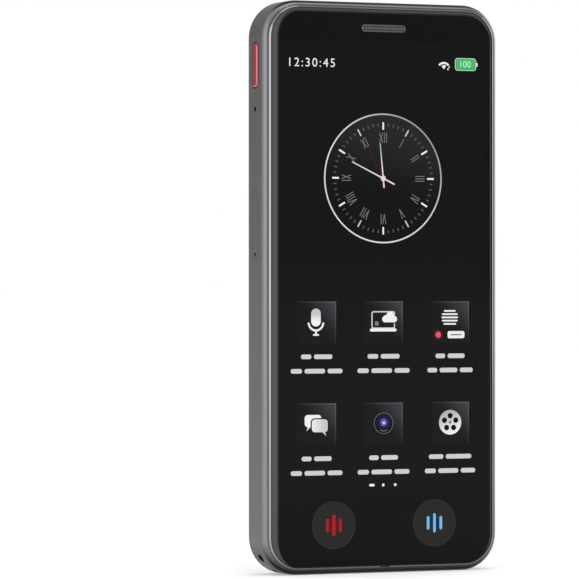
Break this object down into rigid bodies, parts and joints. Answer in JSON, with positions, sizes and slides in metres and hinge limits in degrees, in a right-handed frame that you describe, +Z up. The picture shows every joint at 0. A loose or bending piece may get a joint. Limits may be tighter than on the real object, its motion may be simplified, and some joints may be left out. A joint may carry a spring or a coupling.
{
  "type": "handheld translator",
  "caption": "Slab-shaped handheld voice translator with a touch display, two coloured talk keys on the side, rear camera and flash, SIM tray and a lanyard corner.",
  "frame": {"origin": "middle of the bottom edge, at the base", "axes": "+Z up along the slab's height, the screen faces -Y, the glass back faces +Y, +X is the user's right; the power button and the SIM tray are on the -X side, the talk keys on the +X side"},
  "size_m": [0.0652, 0.0124, 0.142],
  "materials": {
    "frame_metal": "satin gunmetal, polished lip",
    "black_glass": "black-backed glass, polished",
    "key_red": "satin red anodised",
    "key_dark": "satin dark grey",
    "inlay_red": "tinted, dull",
    "inlay_blue": "tinted, dull",
    "spun_steel": "turned, radial brushing",
    "clear_glass": "coated optical glass",
    "flash_white": "white moulded rim",
    "flash_yellow": "pale yellow phosphor",
    "mesh_steel": "dark etched mesh",
    "tray_metal": "as the frame",
    "plate_alu": "stamped",
    "sheet_steel": "tinned sheet",
    "pcb": "solder mask",
    "chip_black": "moulded",
    "black_plastic": "moulded",
    "lcd": "display panel",
    "white_plastic": "light guide",
    "flex_amber": "polyimide film",
    "cell_foil": "foil pouch",
    "tape": "adhesive",
    "screw_steel": "blackened",
    "gold": "plated",
    "lens_black": "matt"
  },
  "bodies": {
    "case": {"metal_frame": "frame_metal", "cover_glass": "black_glass", "rear_glass": "black_glass", "glass_glue": "tape", "lcd_panel": "lcd", "backlight_unit": "white_plastic", "earpiece_mesh": "mesh_steel", "earpiece_receiver": "black_plastic", "touch_guides": "white_plastic", "touch_key_flex": "flex_amber", "touch_key_leds": "white_plastic", "power_switch": "black_plastic", "talk_switches": "black_plastic", "power_flex": "flex_amber", "key_flex": "flex_amber", "side_microphone": "gold", "mid_plate": "plate_alu", "main_board": "pcb", "sub_board": "pcb", "board_screws": "screw_steel", "processor_shield": "sheet_steel", "radio_shield": "sheet_steel", "board_chips": "chip_black", "board_sockets": "chip_black", "sim_base": "black_plastic", "sim_cage": "sheet_steel", "camera_ring": "spun_steel", "camera_window": "clear_glass", "camera_housing": "black_plastic", "image_sensor": "chip_black", "flash_bezel": "flash_white", "flash_lens": "clear_glass", "flash_led": "flash_yellow", "antenna_carrier": "black_plastic", "antennas": "gold", "battery_tape": "tape", "battery_cell": "cell_foil", "battery_lead": "flex_amber", "board_ribbon": "flex_amber", "speaker_box": "black_plastic", "speaker_driver": "sheet_steel", "speaker_cone": "black_plastic", "bottom_microphone": "gold", "motor_can": "sheet_steel", "motor_bracket": "sheet_steel", "usb_shell": "sheet_steel", "usb_tongue": "black_plastic"},
    "power_button": {"power_button": "key_red"},
    "red_key": {"red_key": "key_dark", "red_key_inlay": "inlay_red"},
    "blue_key": {"blue_key": "key_dark", "blue_key_inlay": "inlay_blue"},
    "sim_tray": {"sim_tray": "tray_metal", "sim_cards": "white_plastic"},
    "eject_rod": {"eject_rod": "sheet_steel"},
    "eject_lever": {"eject_lever": "sheet_steel"},
    "lens_barrel": {"lens_barrel": "lens_black"},
    "motor_rotor": {"motor_shaft": "sheet_steel", "motor_weight": "sheet_steel"}
  },
  "joints": [
    {"name": "power_press", "type": "slide", "parent": "case", "child": "power_button", "axis": [1, 0, 0], "range_m": [0, 0.00025], "stiffness_N_per_m": 1500, "springref_m": -0.0002},
    {"name": "red_press", "type": "slide", "parent": "case", "child": "red_key", "axis": [-1, 0, 0], "range_m": [0, 0.0004], "stiffness_N_per_m": 1500, "springref_m": -0.0002},
    {"name": "blue_press", "type": "slide", "parent": "case", "child": "blue_key", "axis": [-1, 0, 0], "range_m": [0, 0.0004], "stiffness_N_per_m": 1500, "springref_m": -0.0002},
    {"name": "tray_slide", "type": "slide", "parent": "case", "child": "sim_tray", "axis": [-1, 0, 0], "range_m": [0, 0.02]},
    {"name": "rod_slide", "type": "slide", "parent": "case", "child": "eject_rod", "axis": [1, 0, 0], "range_m": [0, 0.0012]},
    {"name": "lever_turn", "type": "hinge", "parent": "case", "child": "eject_lever", "pos_m": [-0.00905, 0, 0.0845], "axis": [0, -1, 0], "range_deg": [0, 13.2]},
    {"name": "focus_slide", "type": "slide", "parent": "case", "child": "lens_barrel", "axis": [0, 1, 0], "range_m": [0, 0.00025], "stiffness_N_per_m": 80, "springref_m": -0.0001},
    {"name": "motor_spin", "type": "hinge", "parent": "case", "child": "motor_rotor", "pos_m": [-0.0156, 0.00135, 0.0126], "axis": [1, 0, 0], "continuous": true}
  ],
  "couplings": [
    {"joint": "lever_turn", "follows": "rod_slide", "rad_per_m": 188.68}
  ]
}
